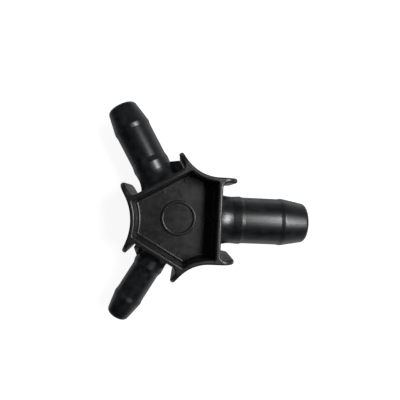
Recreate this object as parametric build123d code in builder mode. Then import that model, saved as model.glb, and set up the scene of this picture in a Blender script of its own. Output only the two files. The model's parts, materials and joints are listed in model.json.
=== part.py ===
from build123d import *
import os
from collections import namedtuple
from math import cos, radians, sin, tan

# Three-way hand tool that rounds and bevels the mouths of 16, 20 and 26 mm plastic pipes.
# Two hub shells clamp three mandrels and six small blades.  Millimetres.  The origin is where
# the three mandrel axes meet, at mid-depth.  +X runs along the large mandrel and +Z is the hub's depth.

# Hub
half_depth = 15.0
web_half = 3.9
wall_thickness = 2.0
grip_thickness = 1.9
wing_end_radius = 5.4
wing_root_round = 2.2
outline_overrun = 1.5
pan_corner_round = 0.6
pan_floor_round = 0.9
rim_round = 0.75
hub_reach = 60.0

# Grip walls: radius of the concave outer face in the valley after each arm
valley_radius = {"large": 16.5, "medium": 21.5, "small": 15.5}

# Mandrels, with the hub around them.  wall is the outer face of the hub's wall, wing_out the outer
# face of the wings from the arm's axis, and every *_at a distance along the arm.
Arm = namedtuple("Arm", "angle wall wing_out wing_tip root_r mid_r root_at mid_at ridge_at end_at bore_r")
arms = {
    "large": Arm(0, 17.35, 17.4, 23.5, 10.4, 10.00, 26.3, 27.7, 42.8, 55.1, 7.6),
    "medium": Arm(120, 16.45, 14.2, 23.3, 8.05, 7.65, 25.9, 28.2, 41.9, 53.6, 5.4),
    "small": Arm(240, 16.95, 12.3, 23.0, 6.6, 5.95, 24.3, 26.4, 38.7, 49.6, 3.9),
}
foot_height = {"large": 1.1, "medium": 1.8, "small": 1.5}
waist_length = 3.6
waist_depth = 0.25
ridge_height = 0.24
ridge_rise = 1.5
ridge_land = 0.5
nose_angle = 10.3
nose_round = 1.5
bore_floor_at = 27.0

# T-shaped tangs of the mandrels, held in pockets between the shells
tang_half = 2.3
neck_half_width = 3.5
tang_head_half_width = 6.0
tang_head_at = 8.5
tang_head_length = 3.0
tang_gap = 0.08

# Blades, one on the clockwise side of each mandrel.  The edge slants from a heel at blade_reach to a
# toe in the mandrel, and both are distances beyond the hub's wall.
blade_half = 0.5
blade_tail = 4.0
blade_depth = 2.4
blade_reach = {"large": 13.6, "medium": 11.8, "small": 9.4}
blade_heel = {"large": 0.8, "medium": 5.4, "small": 4.1}
blade_toe = {"large": 1.5, "medium": 7.0, "small": 6.6}
blade_toe_drop = 0.4
blade_gap = 0.05

# Centre lock
lock_head_r = 7.5
lock_head_sunk = 1.0
lock_ring_width = 1.3
lock_ring_height = 0.65
lock_ring_round = 0.45
sleeve_r = 4.0
stem_r = 2.6
lock_gap = 0.05

# Pegs that locate the shells, one opposite each grip wall
peg_r = 1.0
peg_length = 2.6
peg_gap = 0.05
peg_at_radius = 13.0
peg_angles = (60, 180, 300)

# Low round bosses along the foot of each pan wall
boss_r = 0.8
boss_height = 0.6
boss_inset = 1.85

# Size dots on the floor of the pan: one for the smallest mandrel, three for the largest
dot_r = 0.55
dot_height = 0.3
dot_pitch = 2.1
dot_row_at = 10.4
dot_count = {"large": 3, "medium": 2, "small": 1}


def arm_point(arm, along, across):
    """Point in the hub's mid-plane, from distances along and across an arm."""
    c = cos(radians(arm.angle))
    s = sin(radians(arm.angle))
    return (along * c - across * s, along * s + across * c)


def arm_plane(arm):
    """Mid-plane of the hub, with its X axis along the arm."""
    c = cos(radians(arm.angle))
    s = sin(radians(arm.angle))
    return Plane(origin=(0, 0, 0), x_dir=(c, s, 0), z_dir=(0, 0, 1))


def arm_section(arm):
    """Upright plane through the arm's axis, with its X axis along the arm and its Y axis up."""
    c = cos(radians(arm.angle))
    s = sin(radians(arm.angle))
    return Plane(origin=(0, 0, 0), x_dir=(c, s, 0), z_dir=(s, -c, 0))


def valley_corner(arm, next_arm, inset):
    """Where the straight faces of two neighbouring wings would meet, moved in by the wall's thickness."""
    face = arm.wing_out - inset
    next_face = next_arm.wing_out - inset
    turn = radians(next_arm.angle - arm.angle)
    along = (next_face + face * cos(turn)) / sin(turn)
    return arm_point(arm, along, face)


def next_of(name):
    """The next arm anticlockwise."""
    names = list(arms)
    return arms[names[(names.index(name) + 1) % len(names)]]


def outer_outline():
    """Corners of the hub's outline: the wings, run on a little past their tips, and the valleys."""
    points = []
    for name, arm in arms.items():
        gap = arm.wing_out - grip_thickness
        reach = arm.wing_tip + outline_overrun
        points.append(arm_point(arm, reach, -arm.wing_out))
        points.append(arm_point(arm, reach, -gap))
        points.append(arm_point(arm, arm.wall, -gap))
        points.append(arm_point(arm, arm.wall, gap))
        points.append(arm_point(arm, reach, gap))
        points.append(arm_point(arm, reach, arm.wing_out))
        points.append(valley_corner(arm, next_of(name), 0))
    return points


def star_outline():
    """The inner faces of the grip walls, run on along each arm past the wings' tips."""
    points = []
    for name, arm in arms.items():
        gap = arm.wing_out - grip_thickness
        reach = arm.wing_tip + outline_overrun
        points.append(arm_point(arm, reach, -gap))
        points.append(arm_point(arm, reach, gap))
        points.append(valley_corner(arm, next_of(name), grip_thickness))
    return points


def nearest_vertices(sketch, points):
    """The sketch's vertices nearest to the given points."""
    return [sketch.vertices().sort_by_distance(point)[0] for point in points]


def tang_slot(arm, gap):
    """T-shaped outline of a tang, or of its pocket when gap is more than nothing."""
    neck = neck_half_width + gap
    head = tang_head_half_width + gap
    start = tang_head_at - gap
    shoulder = tang_head_at + tang_head_length + gap
    outline = [(start, -head), (shoulder, -head), (shoulder, -neck), (arm.wall, -neck)]
    return outline + [(along, -across) for along, across in reversed(outline)]


def blade_outline(name):
    """A blade in the mid-plane: a plain tail in the hub, and a slanted edge that bevels the pipe."""
    arm = arms[name]
    inner = arm.root_r - blade_depth
    return [
        (arm.wall - blade_tail, -inner),
        (arm.wall - blade_tail, -blade_reach[name]),
        (arm.wall + blade_heel[name], -blade_reach[name]),
        (arm.wall + blade_toe[name], blade_toe_drop - arm.root_r),
        (arm.wall + blade_toe[name], -inner),
    ]


def boss_points():
    """Where the low bosses stand: three in a row along the foot of each pan wall."""
    points = []
    for arm in arms.values():
        row_half = arm.wing_out - grip_thickness - boss_inset
        for across in (-row_half, 0, row_half):
            points.append(arm_point(arm, arm.wall - wall_thickness - boss_inset, across))
    return points


# ---------------------------------------------------------------- hub shell, before its fittings
with BuildPart() as shell:
    with BuildSketch(Plane.XY) as outline:
        with BuildLine():
            Polyline(outer_outline(), close=True)
        make_face()
        for name, arm in arms.items():
            corner = valley_corner(arm, next_of(name), 0)
            fillet(nearest_vertices(outline, [corner]), valley_radius[name])
        for arm in arms.values():
            gap = arm.wing_out - grip_thickness
            roots = [arm_point(arm, arm.wall, -gap), arm_point(arm, arm.wall, gap)]
            fillet(nearest_vertices(outline, roots), wing_root_round)
    extrude(amount=half_depth)
    # Tongue shape of the wings, seen from the side
    for arm in arms.values():
        with BuildSketch(arm_section(arm)):
            with Locations((arm.wing_tip - hub_reach, 0)):
                RectangleRounded(2 * hub_reach, 2 * half_depth, wing_end_radius)
        extrude(amount=hub_reach, both=True, mode=Mode.INTERSECT)
    # Pan: the space between the grip walls, closed at each arm by a straight wall
    with BuildSketch(Plane.XY.offset(web_half)) as pan:
        with BuildLine():
            Polyline(star_outline(), close=True)
        make_face()
        for name, arm in arms.items():
            corner = valley_corner(arm, next_of(name), grip_thickness)
            fillet(nearest_vertices(pan, [corner]), valley_radius[name] + grip_thickness)
        for arm in arms.values():
            with Locations(arm_point(arm, arm.wall - wall_thickness + half_depth, 0)):
                Rectangle(2 * half_depth, hub_reach, rotation=arm.angle, mode=Mode.SUBTRACT)
        for arm in arms.values():
            gap = arm.wing_out - grip_thickness
            ends = [arm_point(arm, arm.wall - wall_thickness, side * gap) for side in (-1, 1)]
            fillet(nearest_vertices(pan, ends), pan_corner_round)
    extrude(amount=half_depth, mode=Mode.SUBTRACT)
    pan_floor = shell.faces().filter_by(Plane.XY).group_by(Axis.Z)[1].sort_by(SortBy.AREA)[-1]
    fillet(pan_floor.edges(), pan_floor_round)
    rim = shell.faces().filter_by(Plane.XY).group_by(Axis.Z)[-1].sort_by(SortBy.AREA)[-1]
    fillet(rim.edges(), rim_round)
    with BuildSketch(Plane.XY.offset(web_half)):
        with Locations(*boss_points()):
            Circle(boss_r)
    extrude(amount=boss_height)


def tang_pocket(arm):
    """Outline of the pocket for an arm's tang."""
    with BuildSketch(arm_plane(arm)) as pocket:
        with BuildLine():
            Polyline(tang_slot(arm, tang_gap), close=True)
        make_face()
        with Locations((arm.wall, 0)):
            Rectangle(wall_thickness, 2 * (neck_half_width + tang_gap))
    return pocket.sketch


def blade_pocket(name, gap):
    """Outline of an arm's blade, grown by a gap all round."""
    with BuildSketch(arm_plane(arms[name])) as pocket:
        with BuildLine():
            Polyline(blade_outline(name), close=True)
        make_face()
        if gap > 0:
            offset(amount=gap)
    return pocket.sketch


peg_points = [(peg_at_radius * cos(radians(a)), peg_at_radius * sin(radians(a))) for a in peg_angles]

# ---------------------------------------------------------------- front shell
with BuildPart() as front_shell:
    add(shell.part)
    # Pockets for the tangs and for the tails of the blades
    for name, arm in arms.items():
        extrude(tang_pocket(arm), amount=tang_half + tang_gap, mode=Mode.SUBTRACT)
        extrude(blade_pocket(name, blade_gap), amount=blade_half + blade_gap, mode=Mode.SUBTRACT)
    # Seat of the centre lock
    with BuildSketch(Plane.XY.offset(web_half - lock_head_sunk)):
        Circle(lock_head_r + lock_gap)
    extrude(amount=half_depth, mode=Mode.SUBTRACT)
    with BuildSketch(Plane.XY):
        Circle(sleeve_r + lock_gap)
    extrude(amount=web_half, mode=Mode.SUBTRACT)
    # Locating pegs, which reach into the other shell
    with BuildSketch(Plane.XY):
        with Locations(*peg_points):
            Circle(peg_r)
    extrude(amount=-peg_length)
    # Size dots
    with BuildSketch(Plane.XY.offset(web_half)):
        for name, arm in arms.items():
            with Locations(Location(arm_point(arm, dot_row_at, 0), arm.angle)):
                with GridLocations(dot_pitch, dot_pitch, 1, dot_count[name]):
                    Circle(dot_r)
    extrude(amount=dot_height)
front_shell.part.label = "front_shell"

# ---------------------------------------------------------------- back shell
with BuildPart() as back_shell:
    add(mirror(shell.part, about=Plane.XY))
    # Pockets for the tangs and for the tails of the blades
    for name, arm in arms.items():
        extrude(tang_pocket(arm), amount=-(tang_half + tang_gap), mode=Mode.SUBTRACT)
        extrude(blade_pocket(name, blade_gap), amount=-(blade_half + blade_gap), mode=Mode.SUBTRACT)
    # Seat of the centre lock
    with BuildSketch(Plane.XY.offset(lock_head_sunk - web_half)):
        Circle(lock_head_r + lock_gap)
    extrude(amount=-half_depth, mode=Mode.SUBTRACT)
    with BuildSketch(Plane.XY):
        Circle(sleeve_r + lock_gap)
    extrude(amount=-web_half, mode=Mode.SUBTRACT)
    # Peg holes
    with BuildSketch(Plane.XY):
        with Locations(*peg_points):
            Circle(peg_r + peg_gap)
    extrude(amount=-(peg_length + peg_gap), mode=Mode.SUBTRACT)
back_shell.part.label = "back_shell"


def make_mandrel(name):
    """A hollow mandrel with its foot on the hub's wall, and its tang between the shells."""
    arm = arms[name]
    ridge_r = arm.mid_r + ridge_height
    ridge_end = arm.ridge_at + ridge_rise + ridge_land
    nose_length = arm.end_at - nose_round - ridge_end
    nose_r = ridge_r - nose_length * tan(radians(nose_angle))
    waist_at = arm.root_at - waist_length
    waist_r = arm.root_r - waist_depth
    with BuildPart() as mandrel:
        with BuildSketch(arm_section(arm)) as half:
            with BuildLine():
                foot = Line((arm.wall, 0), (arm.wall, waist_r + foot_height[name]))
                TangentArc((waist_at, waist_r), foot @ 1, tangent=(-1, 0))
                root = Line((waist_at, waist_r), (arm.root_at, arm.root_r))
                step = Line(root @ 1, (arm.mid_at, arm.mid_r))
                land = Line(step @ 1, (arm.ridge_at, arm.mid_r))
                ridge = Polyline(land @ 1, (arm.ridge_at + ridge_rise, ridge_r), (ridge_end, ridge_r))
                nose = Line(ridge @ 1, (arm.end_at - nose_round, nose_r))
                mouth = TangentArc(nose @ 1, (arm.end_at, nose_r - nose_round), tangent=nose % 1)
                Polyline(mouth @ 1, (arm.end_at, 0), (arm.wall, 0))
            make_face()
        revolve(axis=Axis((0, 0, 0), (cos(radians(arm.angle)), sin(radians(arm.angle)), 0)))
        # Core, open at the nose
        with BuildSketch(arm_section(arm)):
            with Locations(((arm.end_at + bore_floor_at) / 2, arm.bore_r / 2)):
                Rectangle(arm.end_at - bore_floor_at, arm.bore_r)
        revolve(
            axis=Axis((0, 0, 0), (cos(radians(arm.angle)), sin(radians(arm.angle)), 0)),
            mode=Mode.SUBTRACT,
        )
        # Tang
        with BuildSketch(arm_plane(arm)):
            with BuildLine():
                Polyline(tang_slot(arm, 0), close=True)
            make_face()
        extrude(amount=tang_half, both=True)
        # Slot that the blade stands in
        extrude(blade_pocket(name, 0), amount=blade_half, both=True, mode=Mode.SUBTRACT)
    mandrel.part.label = "mandrel_" + name
    return mandrel


def make_blade(name):
    """A flat blade of sheet steel with a slanted edge."""
    with BuildPart() as blade:
        extrude(blade_pocket(name, 0), amount=blade_half, both=True)
    blade.part.label = "bevel_blade_" + name
    return blade


mandrels = [make_mandrel(name) for name in arms]
blades = [make_blade(name) for name in arms]

# ---------------------------------------------------------------- centre lock
lock_seat = web_half - lock_head_sunk

with BuildPart() as centre_button:
    with BuildSketch(Plane.XY.offset(lock_seat)):
        Circle(lock_head_r)
    extrude(amount=lock_head_sunk)
    with BuildSketch(Plane.XY.offset(web_half)):
        Circle(lock_head_r)
        Circle(lock_head_r - lock_ring_width, mode=Mode.SUBTRACT)
    extrude(amount=lock_ring_height)
    ring_top = centre_button.faces().sort_by(Axis.Z)[-1]
    fillet(ring_top.edges(), lock_ring_round)
    with BuildSketch(Plane.XY.offset(lock_seat)):
        Circle(stem_r)
    extrude(amount=-(2 * lock_seat))
centre_button.part.label = "centre_button"

with BuildPart() as centre_socket:
    with BuildSketch(Plane.XY.offset(-lock_seat)):
        Circle(lock_head_r)
    extrude(amount=-lock_head_sunk)
    with BuildSketch(Plane.XY.offset(-web_half)):
        Circle(lock_head_r)
        Circle(lock_head_r - lock_ring_width, mode=Mode.SUBTRACT)
    extrude(amount=-lock_ring_height)
    ring_foot = centre_socket.faces().sort_by(Axis.Z)[0]
    fillet(ring_foot.edges(), lock_ring_round)
    with BuildSketch(Plane.XY.offset(-lock_seat)):
        Circle(sleeve_r)
        Circle(stem_r + lock_gap, mode=Mode.SUBTRACT)
    extrude(amount=2 * lock_seat - lock_gap)
centre_socket.part.label = "centre_socket"

# ---------------------------------------------------------------- files
os.makedirs("parts", exist_ok=True)
for piece in [front_shell, back_shell, *mandrels, *blades, centre_button, centre_socket]:
    export_step(piece.part, f"parts/{piece.part.label}.step")
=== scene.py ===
import bpy
import json
import math
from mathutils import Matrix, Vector
from mathutils.bvhtree import BVHTree


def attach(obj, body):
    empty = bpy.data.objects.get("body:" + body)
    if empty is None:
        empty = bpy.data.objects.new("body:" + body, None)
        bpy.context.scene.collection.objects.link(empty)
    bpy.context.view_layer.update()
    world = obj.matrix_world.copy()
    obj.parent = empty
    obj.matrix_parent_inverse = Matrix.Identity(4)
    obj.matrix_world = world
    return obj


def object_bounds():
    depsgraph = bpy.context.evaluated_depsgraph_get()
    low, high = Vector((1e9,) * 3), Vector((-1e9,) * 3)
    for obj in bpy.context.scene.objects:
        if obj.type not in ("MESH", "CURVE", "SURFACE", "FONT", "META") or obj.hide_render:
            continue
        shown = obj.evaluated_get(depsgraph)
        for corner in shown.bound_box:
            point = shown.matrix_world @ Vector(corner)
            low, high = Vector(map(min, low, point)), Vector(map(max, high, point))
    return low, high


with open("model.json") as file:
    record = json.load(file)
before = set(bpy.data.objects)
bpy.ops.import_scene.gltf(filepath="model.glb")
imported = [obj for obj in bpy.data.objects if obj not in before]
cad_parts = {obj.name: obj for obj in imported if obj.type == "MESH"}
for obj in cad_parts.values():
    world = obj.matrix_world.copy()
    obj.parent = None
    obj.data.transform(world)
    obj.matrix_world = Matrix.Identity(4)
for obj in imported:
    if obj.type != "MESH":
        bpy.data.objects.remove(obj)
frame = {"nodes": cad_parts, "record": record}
cad_low, cad_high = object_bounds()

MM = 0.001
UP = Vector((0, 0, 1))


# ---------------------------------------------------------------- node helpers
def new_material(name):
    """A material with an empty node tree but for a Principled shader on its output."""
    mat = bpy.data.materials.new(name)
    mat.use_nodes = True
    tree = mat.node_tree
    tree.nodes.clear()
    out = tree.nodes.new("ShaderNodeOutputMaterial")
    shader = tree.nodes.new("ShaderNodeBsdfPrincipled")
    tree.links.new(shader.outputs["BSDF"], out.inputs["Surface"])
    return mat, tree, shader


def add_noise(tree, coords, scale, detail=4.0, rough=0.5, stretch=None):
    """Noise in object space, one cell about 1/scale metres wide, stretched by a vector if given."""
    if stretch:
        mapping = tree.nodes.new("ShaderNodeMapping")
        mapping.inputs["Scale"].default_value = stretch
        tree.links.new(coords, mapping.inputs["Vector"])
        coords = mapping.outputs["Vector"]
    noise = tree.nodes.new("ShaderNodeTexNoise")
    noise.inputs["Scale"].default_value = scale
    noise.inputs["Detail"].default_value = detail
    noise.inputs["Roughness"].default_value = rough
    tree.links.new(coords, noise.inputs["Vector"])
    return noise.outputs["Fac"]


def ramp(tree, value, low, high, out_low, out_high):
    """Maps a range of a value to another, clamped."""
    node = tree.nodes.new("ShaderNodeMapRange")
    node.inputs["From Min"].default_value = low
    node.inputs["From Max"].default_value = high
    node.inputs["To Min"].default_value = out_low
    node.inputs["To Max"].default_value = out_high
    tree.links.new(value, node.inputs["Value"])
    return node.outputs["Result"]


def math_node(tree, operation, first, second):
    """Two values, or a value and a number, through one operation."""
    node = tree.nodes.new("ShaderNodeMath")
    node.operation = operation
    for socket, value in zip(node.inputs, (first, second)):
        if isinstance(value, (int, float)):
            socket.default_value = value
        else:
            tree.links.new(value, socket)
    return node.outputs[0]


def mix_colour(tree, factor, dark, light):
    """A colour between two, by a factor."""
    node = tree.nodes.new("ShaderNodeMix")
    node.data_type = "RGBA"
    node.inputs["A"].default_value = (*dark, 1)
    node.inputs["B"].default_value = (*light, 1)
    tree.links.new(factor, node.inputs["Factor"])
    return node.outputs["Result"]


def bump(tree, height, distance, strength, below=None):
    """A bump from a height, on top of another bump's normal if given."""
    node = tree.nodes.new("ShaderNodeBump")
    node.inputs["Distance"].default_value = distance
    node.inputs["Strength"].default_value = strength
    tree.links.new(height, node.inputs["Height"])
    if below:
        tree.links.new(below, node.inputs["Normal"])
    return node.outputs["Normal"]


# Noise scales are in cells per metre.
DRIFT_SCALE = 60
CLOUD_SCALE = 320
GRAIN_SCALE = 4200
SCUFF_SCALE = 260
SCUFF_STRETCH = (1.0, 5.0, 1.6)
SCUFF_TINT = 0.5
SCUFF_ROUGHNESS = 0.35
CLOUD_RELIEF = 0.12 * MM
GRAIN_RELIEF = 0.04 * MM
PLASTIC_INDEX = 1.46
MARK_SCALE = 900
MARK_STRETCH = (1.0, 12.0, 12.0)
MARK_RELIEF = 0.03 * MM
STAIN_SCALE = 500
STEEL_DARK = (0.20, 0.20, 0.20)
STEEL_LIGHT = (0.36, 0.355, 0.35)


def moulded_plastic(name, dark, light, gloss, mottle, grain, wear):
    """Black moulded plastic: fine grain, a slow drift and mottling of gloss, rubbed edges, scuffs."""
    mat, tree, shader = new_material(name)
    coords = tree.nodes.new("ShaderNodeTexCoord").outputs["Object"]
    drift = add_noise(tree, coords, DRIFT_SCALE, 3)
    cloud = add_noise(tree, coords, CLOUD_SCALE, 5, 0.6)
    fine = add_noise(tree, coords, GRAIN_SCALE, 3, 0.6)
    scuffs = add_noise(tree, coords, SCUFF_SCALE, 6, 0.7, stretch=SCUFF_STRETCH)
    edge = tree.nodes.new("ShaderNodeNewGeometry").outputs["Pointiness"]
    rubbed = ramp(tree, edge, 0.515, 0.60, 0.0, wear)
    scuffed = ramp(tree, scuffs, 0.60, 0.78, 0.0, 0.35)
    tint = math_node(tree, "MAXIMUM", rubbed, math_node(tree, "MULTIPLY", scuffed, SCUFF_TINT))
    shade = math_node(tree, "ADD", tint, ramp(tree, cloud, 0.40, 0.66, 0.0, 0.45))
    tree.links.new(mix_colour(tree, shade, dark, light), shader.inputs["Base Color"])
    patches = ramp(tree, cloud, 0.36, 0.64, gloss + mottle, gloss - mottle)
    rough = math_node(tree, "ADD", patches, ramp(tree, drift, 0.3, 0.7, -0.03, 0.04))
    rough = math_node(tree, "ADD", rough, math_node(tree, "MULTIPLY", scuffed, SCUFF_ROUGHNESS))
    tree.links.new(rough, shader.inputs["Roughness"])
    normal = bump(tree, cloud, CLOUD_RELIEF, 0.20)
    normal = bump(tree, fine, GRAIN_RELIEF, grain, normal)
    tree.links.new(normal, shader.inputs["Normal"])
    shader.inputs["IOR"].default_value = PLASTIC_INDEX
    return mat


def ground_steel(name):
    """Stainless strip with fine grinding marks."""
    mat, tree, shader = new_material(name)
    coords = tree.nodes.new("ShaderNodeTexCoord").outputs["Object"]
    marks = add_noise(tree, coords, MARK_SCALE, 4, 0.6, stretch=MARK_STRETCH)
    stain = add_noise(tree, coords, STAIN_SCALE, 4)
    tone = mix_colour(tree, ramp(tree, stain, 0.35, 0.7, 0, 1), STEEL_DARK, STEEL_LIGHT)
    tree.links.new(tone, shader.inputs["Base Color"])
    tree.links.new(ramp(tree, marks, 0.3, 0.7, 0.40, 0.56), shader.inputs["Roughness"])
    tree.links.new(bump(tree, marks, MARK_RELIEF, 0.3), shader.inputs["Normal"])
    shader.inputs["Metallic"].default_value = 1.0
    return mat


# Dark and light colour, roughness, mottling of the roughness, grain and rubbed edges of each plastic.
hub_plastic = moulded_plastic(
    "hub_plastic", (0.0015, 0.0015, 0.0017), (0.014, 0.014, 0.0155), 0.37, 0.08, 0.28, 0.6
)
mandrel_plastic = moulded_plastic(
    "mandrel_plastic", (0.0014, 0.0016, 0.0020), (0.012, 0.013, 0.016), 0.31, 0.015, 0.18, 0.3
)
button_plastic = moulded_plastic(
    "button_plastic", (0.0015, 0.0015, 0.0017), (0.014, 0.014, 0.0155), 0.37, 0.07, 0.30, 0.6
)
blade_steel = ground_steel("blade_steel")


def material_for(node):
    """The finish of a CAD node, by its name."""
    if node.startswith("bevel_blade"):
        return blade_steel
    if node.startswith("mandrel"):
        return mandrel_plastic
    if node.startswith("centre"):
        return button_plastic
    return hub_plastic


for node, obj in frame["nodes"].items():
    obj.data.materials.clear()
    obj.data.materials.append(material_for(node))


# ---------------------------------------------------------------- parting lines
SEAM_WIDTH = 0.34 * MM
SEAM_HEIGHT = 0.07 * MM
SEAM_SINK = 0.05 * MM
SEAM_STATIONS = 90
SEAM_STRAND = 7
SEAM_FADE = 4
SEAM_PAST_BLADE = 0.4 * MM
SEAM_BEFORE_NOSE = 2.0 * MM
RAY_START = 50 * MM


def seam_line(tree, axis, side, start, end):
    """Points of a mandrel's surface in the hub's mid-plane, found by rays cast in towards its axis."""
    across = UP.cross(axis) * side
    points = []
    for station in range(SEAM_STATIONS):
        along = start + (end - start) * station / (SEAM_STATIONS - 1)
        points.append(tree.ray_cast(axis * along + across * RAY_START, -across)[0])
    return across, points


def seam_rows(points, across):
    """A half-round section at each point, sunk a little in the surface and fading out at both ends."""
    rows = []
    for number, point in enumerate(points):
        fade = min(1.0, number / SEAM_FADE, (len(points) - 1 - number) / SEAM_FADE)
        for step in range(SEAM_STRAND):
            turn = math.pi * step / (SEAM_STRAND - 1)
            rise = (SEAM_HEIGHT * math.sin(turn) * fade) - SEAM_SINK * (1 - math.sin(turn))
            rows.append(point + across * rise + UP * (SEAM_WIDTH / 2 * math.cos(turn)))
        rows.append(point - across * 2 * SEAM_SINK)
    return rows


def ring_faces(rings, ring):
    """Quads between rings of points, each ring closed on itself."""
    faces = []
    for station in range(rings - 1):
        low = station * ring
        for step in range(ring):
            after = (step + 1) % ring
            faces.append((low + step, low + after, low + ring + after, low + ring + step))
    return faces


def make_seam(node, name, axis, side, start, end):
    """A fine half-round bead that the two halves of the mould left along a mandrel."""
    obj = frame["nodes"][node]
    polygons = [p.vertices for p in obj.data.polygons]
    tree = BVHTree.FromPolygons([v.co for v in obj.data.vertices], polygons)
    across, points = seam_line(tree, axis, side, start, end)
    rows = seam_rows(points, across)
    ring = SEAM_STRAND + 1
    faces = ring_faces(len(points), ring)
    faces.append(tuple(range(ring)))
    faces.append(tuple(reversed(range(len(rows) - ring, len(rows)))))
    if side < 0:
        faces = [tuple(reversed(face)) for face in faces]
    mesh = bpy.data.meshes.new(name)
    mesh.from_pydata(rows, [], faces)
    mesh.materials.append(mandrel_plastic)
    mesh.shade_smooth()
    seam = bpy.data.objects.new(name, mesh)
    bpy.context.scene.collection.objects.link(seam)
    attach(seam, "root")


def reach_along(node, axis):
    """How far a node reaches along an arm."""
    return max(v.co.dot(axis) for v in frame["nodes"][node].data.vertices)


def make_seams():
    """Two beads on each mandrel, from past its blade to the rounding of its nose."""
    for mount in frame["record"]["mounts"]:
        if not mount["name"].startswith("mandrel"):
            continue
        size = mount["name"].split("_")[1]
        axis = Vector(mount["axis"]).normalized()
        start = reach_along("bevel_blade_" + size, axis) + SEAM_PAST_BLADE
        end = reach_along(mount["name"], axis) - SEAM_BEFORE_NOSE
        for side, hand in ((1, "left"), (-1, "right")):
            make_seam(mount["name"], f"parting_line_{size}_{hand}", axis, side, start, end)


make_seams()


# ---------------------------------------------------------------- floor
FLOOR_REACH = 1.2
BACKDROP_ROUND = 0.5
BACKDROP_TOP = 1.6
BACKDROP_STEPS = 12
FLOOR_SIDES = 96
FLOOR_GAP = 0.02 * MM
PAPER_DARK = (0.15, 0.15, 0.15)
PAPER_LIGHT = (0.17, 0.17, 0.17)
PAPER_GLOW = 0.88


def floor_profile():
    """Radius and height, from the middle of the floor, round the sweep and up the backdrop."""
    profile = [(FLOOR_REACH, 0.0)]
    for step in range(1, BACKDROP_STEPS + 1):
        turn = math.radians(90 * step / BACKDROP_STEPS)
        rise = BACKDROP_ROUND * (1 - math.cos(turn))
        profile.append((FLOOR_REACH + BACKDROP_ROUND * math.sin(turn), rise))
    profile.append((FLOOR_REACH + BACKDROP_ROUND, BACKDROP_TOP))
    return profile


def floor_paper():
    """Matt paper with a faint grain and a glow of its own."""
    mat, tree, shader = new_material("floor_paper")
    coords = tree.nodes.new("ShaderNodeTexCoord").outputs["Object"]
    grain = add_noise(tree, coords, 1500, 3)
    tree.links.new(mix_colour(tree, grain, PAPER_DARK, PAPER_LIGHT), shader.inputs["Base Color"])
    shader.inputs["Roughness"].default_value = 0.85
    shader.inputs["Emission Color"].default_value = (1, 1, 1, 1)
    shader.inputs["Emission Strength"].default_value = PAPER_GLOW
    return mat


def make_floor():
    """A plain pale floor under the hub's back rim, swept up all round; it isn't seen in reflections."""
    profile = floor_profile()
    level = cad_low.z - FLOOR_GAP
    points = []
    for reach, rise in profile:
        for side in range(FLOOR_SIDES):
            turn = 2 * math.pi * side / FLOOR_SIDES
            points.append((reach * math.cos(turn), reach * math.sin(turn), level + rise))
    walls = [tuple(reversed(face)) for face in ring_faces(len(profile), FLOOR_SIDES)]
    mesh = bpy.data.meshes.new("floor")
    mesh.from_pydata(points, [], [tuple(range(FLOOR_SIDES))] + walls)
    mesh.materials.append(floor_paper())
    floor = bpy.data.objects.new("floor", mesh)
    bpy.context.scene.collection.objects.link(floor)
    floor.visible_glossy = False
    floor.visible_shadow = False


make_floor()


# ---------------------------------------------------------------- light and camera
def area_light(name, direction, distance, width, height, power):
    """A soft rectangular light that faces the hub from a direction, its width level."""
    data = bpy.data.lights.new(name, "AREA")
    data.shape = "RECTANGLE"
    data.size = width
    data.size_y = height
    data.energy = power
    lamp = bpy.data.objects.new(name, data)
    towards = Vector(direction).normalized()
    lamp.location = towards * distance
    lamp.rotation_mode = "QUATERNION"
    lamp.rotation_quaternion = towards.to_track_quat("Z", "Y")
    bpy.context.scene.collection.objects.link(lamp)
    return lamp


area_light("key", (0.53, 0.13, 0.84), 0.45, 0.26, 0.13, 3.2)
area_light("fill", (-0.7, 0.5, 0.9), 1.2, 0.8, 0.8, 0.4)

WALL_LEFT = 0.08
WALL_RIGHT = 0.5
TABLE_LEFT = 0.62
TABLE_RIGHT = 1.0
TABLE_GLOW = 0.95
CEILING_GLOW = 0.006


def studio_world():
    """What the gloss reflects: a dark ceiling, a pale table below and a pale wall on the right."""
    world = bpy.data.worlds.new("studio")
    world.use_nodes = True
    tree = world.node_tree
    background = tree.nodes["Background"]
    background.inputs["Color"].default_value = (1, 1, 1, 1)
    coords = tree.nodes.new("ShaderNodeTexCoord").outputs["Generated"]
    split = tree.nodes.new("ShaderNodeSeparateXYZ")
    tree.links.new(coords, split.inputs["Vector"])
    across, height = split.outputs["X"], split.outputs["Z"]
    side_glow = ramp(tree, across, -1, 1, WALL_LEFT, WALL_RIGHT)
    wall = math_node(tree, "MULTIPLY", side_glow, ramp(tree, height, 0, 0.35, 1, 0.0))
    table_glow = ramp(tree, height, -0.42, -0.10, TABLE_GLOW, 0.0)
    table_side = ramp(tree, across, -0.8, 0.2, TABLE_LEFT, TABLE_RIGHT)
    table = math_node(tree, "MULTIPLY", table_glow, table_side)
    shaded = ramp(tree, height, -0.92, -0.54, 0.02, 1.0)
    glow = math_node(tree, "MAXIMUM", wall, math_node(tree, "MULTIPLY", table, shaded))
    tree.links.new(math_node(tree, "ADD", glow, CEILING_GLOW), background.inputs["Strength"])
    bpy.context.scene.world = world


studio_world()
bpy.context.scene.view_settings.view_transform = "Standard"

CAMERA_LENS = 29.415
CAMERA_PLACE = (0.00154, 0.00773, 0.14289)
CAMERA_TURN = (0.01, -3.00, 2.667)

camera_data = bpy.data.cameras.new("camera")
camera_data.sensor_width = 36.0
camera_data.lens = CAMERA_LENS
camera = bpy.data.objects.new("camera", camera_data)
camera.location = CAMERA_PLACE
camera.rotation_euler = [math.radians(angle) for angle in CAMERA_TURN]
bpy.context.scene.collection.objects.link(camera)
bpy.context.scene.camera = camera
